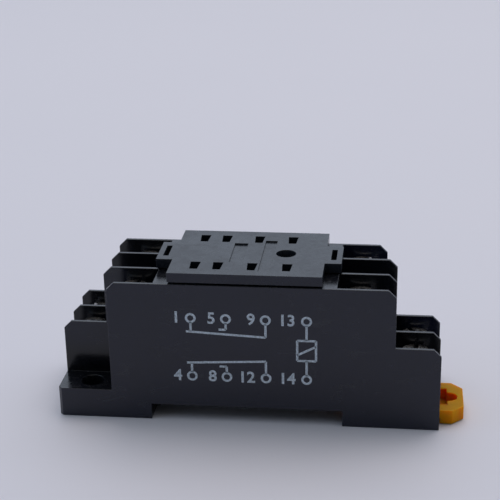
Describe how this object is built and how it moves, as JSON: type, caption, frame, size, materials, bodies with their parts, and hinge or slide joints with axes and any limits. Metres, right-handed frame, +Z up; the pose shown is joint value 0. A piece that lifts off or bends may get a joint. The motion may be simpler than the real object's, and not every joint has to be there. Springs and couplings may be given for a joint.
{
  "type": "relay socket",
  "caption": "Stepped dark plastic relay socket with walled screw-terminal bays at both ends, a raised plate of pin slots, mounting feet and a yellow sliding rail latch.",
  "frame": {"origin": "centre of the two mounting holes, on the mounting plane", "axes": "+X along the length towards the rail latch, +Y across it, +Z up from the mounting plane to the relay seat"},
  "size_m": [0.0752, 0.0226, 0.0294],
  "materials": {
    "housing_plastic": "moulded thermoset, satin to glossy",
    "seat_plastic": "moulded thermoset, satin",
    "latch_plastic": "moulded acetal, satin",
    "terminal_metal": "stamped brass, tin plated",
    "screw_steel": "zinc plated",
    "washer_steel": "stamped, zinc plated"
  },
  "bodies": {
    "socket": {"housing": "housing_plastic", "relay_seat": "seat_plastic", "terminal_4": "terminal_metal", "terminal_1": "terminal_metal", "terminal_8": "terminal_metal", "terminal_5": "terminal_metal", "terminal_12": "terminal_metal", "terminal_9": "terminal_metal", "terminal_14": "terminal_metal", "terminal_13": "terminal_metal"},
    "latch": {"rail_latch": "latch_plastic"},
    "clamp_4": {"washer_4": "washer_steel"},
    "driver_4": {"screw_4": "screw_steel"},
    "clamp_1": {"washer_1": "washer_steel"},
    "driver_1": {"screw_1": "screw_steel"},
    "clamp_8": {"washer_8": "washer_steel"},
    "driver_8": {"screw_8": "screw_steel"},
    "clamp_5": {"washer_5": "washer_steel"},
    "driver_5": {"screw_5": "screw_steel"},
    "clamp_12": {"washer_12": "washer_steel"},
    "driver_12": {"screw_12": "screw_steel"},
    "clamp_9": {"washer_9": "washer_steel"},
    "driver_9": {"screw_9": "screw_steel"},
    "clamp_14": {"washer_14": "washer_steel"},
    "driver_14": {"screw_14": "screw_steel"},
    "clamp_13": {"washer_13": "washer_steel"},
    "driver_13": {"screw_13": "screw_steel"}
  },
  "joints": [
    {"name": "latch_slide", "type": "slide", "parent": "socket", "child": "latch", "axis": [1, 0, 0], "range_m": [0, 0.003], "stiffness_N_per_m": 1500, "springref_m": -0.0005},
    {"name": "clamp_4_lift", "type": "slide", "parent": "socket", "child": "clamp_4", "axis": [0, 0, 1], "range_m": [0, 0.002]},
    {"name": "screw_4_turn", "type": "hinge", "parent": "clamp_4", "child": "driver_4", "pos_m": [-0.0306, 0, 0.01225], "axis": [0, 0, 1], "range_deg": [0, 1440]},
    {"name": "clamp_1_lift", "type": "slide", "parent": "socket", "child": "clamp_1", "axis": [0, 0, 1], "range_m": [0, 0.002]},
    {"name": "screw_1_turn", "type": "hinge", "parent": "clamp_1", "child": "driver_1", "pos_m": [-0.0306, 0.00727, 0.01225], "axis": [0, 0, 1], "range_deg": [0, 1440]},
    {"name": "clamp_8_lift", "type": "slide", "parent": "socket", "child": "clamp_8", "axis": [0, 0, 1], "range_m": [0, 0.002]},
    {"name": "screw_8_turn", "type": "hinge", "parent": "clamp_8", "child": "driver_8", "pos_m": [-0.0206, -0.00727, 0.02345], "axis": [0, 0, 1], "range_deg": [0, 1440]},
    {"name": "clamp_5_lift", "type": "slide", "parent": "socket", "child": "clamp_5", "axis": [0, 0, 1], "range_m": [0, 0.002]},
    {"name": "screw_5_turn", "type": "hinge", "parent": "clamp_5", "child": "driver_5", "pos_m": [-0.0206, 0.00727, 0.02345], "axis": [0, 0, 1], "range_deg": [0, 1440]},
    {"name": "clamp_12_lift", "type": "slide", "parent": "socket", "child": "clamp_12", "axis": [0, 0, 1], "range_m": [0, 0.002]},
    {"name": "screw_12_turn", "type": "hinge", "parent": "clamp_12", "child": "driver_12", "pos_m": [0.0206, -0.00727, 0.02345], "axis": [0, 0, 1], "range_deg": [0, 1440]},
    {"name": "clamp_9_lift", "type": "slide", "parent": "socket", "child": "clamp_9", "axis": [0, 0, 1], "range_m": [0, 0.002]},
    {"name": "screw_9_turn", "type": "hinge", "parent": "clamp_9", "child": "driver_9", "pos_m": [0.0206, 0.00727, 0.02345], "axis": [0, 0, 1], "range_deg": [0, 1440]},
    {"name": "clamp_14_lift", "type": "slide", "parent": "socket", "child": "clamp_14", "axis": [0, 0, 1], "range_m": [0, 0.002]},
    {"name": "screw_14_turn", "type": "hinge", "parent": "clamp_14", "child": "driver_14", "pos_m": [0.0306, -0.00727, 0.01225], "axis": [0, 0, 1], "range_deg": [0, 1440]},
    {"name": "clamp_13_lift", "type": "slide", "parent": "socket", "child": "clamp_13", "axis": [0, 0, 1], "range_m": [0, 0.002]},
    {"name": "screw_13_turn", "type": "hinge", "parent": "clamp_13", "child": "driver_13", "pos_m": [0.0306, 0, 0.01225], "axis": [0, 0, 1], "range_deg": [0, 1440]}
  ],
  "couplings": [
    {"joint": "screw_4_turn", "follows": "clamp_4_lift", "rad_per_m": 12566},
    {"joint": "screw_1_turn", "follows": "clamp_1_lift", "rad_per_m": 12566},
    {"joint": "screw_8_turn", "follows": "clamp_8_lift", "rad_per_m": 12566},
    {"joint": "screw_5_turn", "follows": "clamp_5_lift", "rad_per_m": 12566},
    {"joint": "screw_12_turn", "follows": "clamp_12_lift", "rad_per_m": 12566},
    {"joint": "screw_9_turn", "follows": "clamp_9_lift", "rad_per_m": 12566},
    {"joint": "screw_14_turn", "follows": "clamp_14_lift", "rad_per_m": 12566},
    {"joint": "screw_13_turn", "follows": "clamp_13_lift", "rad_per_m": 12566}
  ]
}
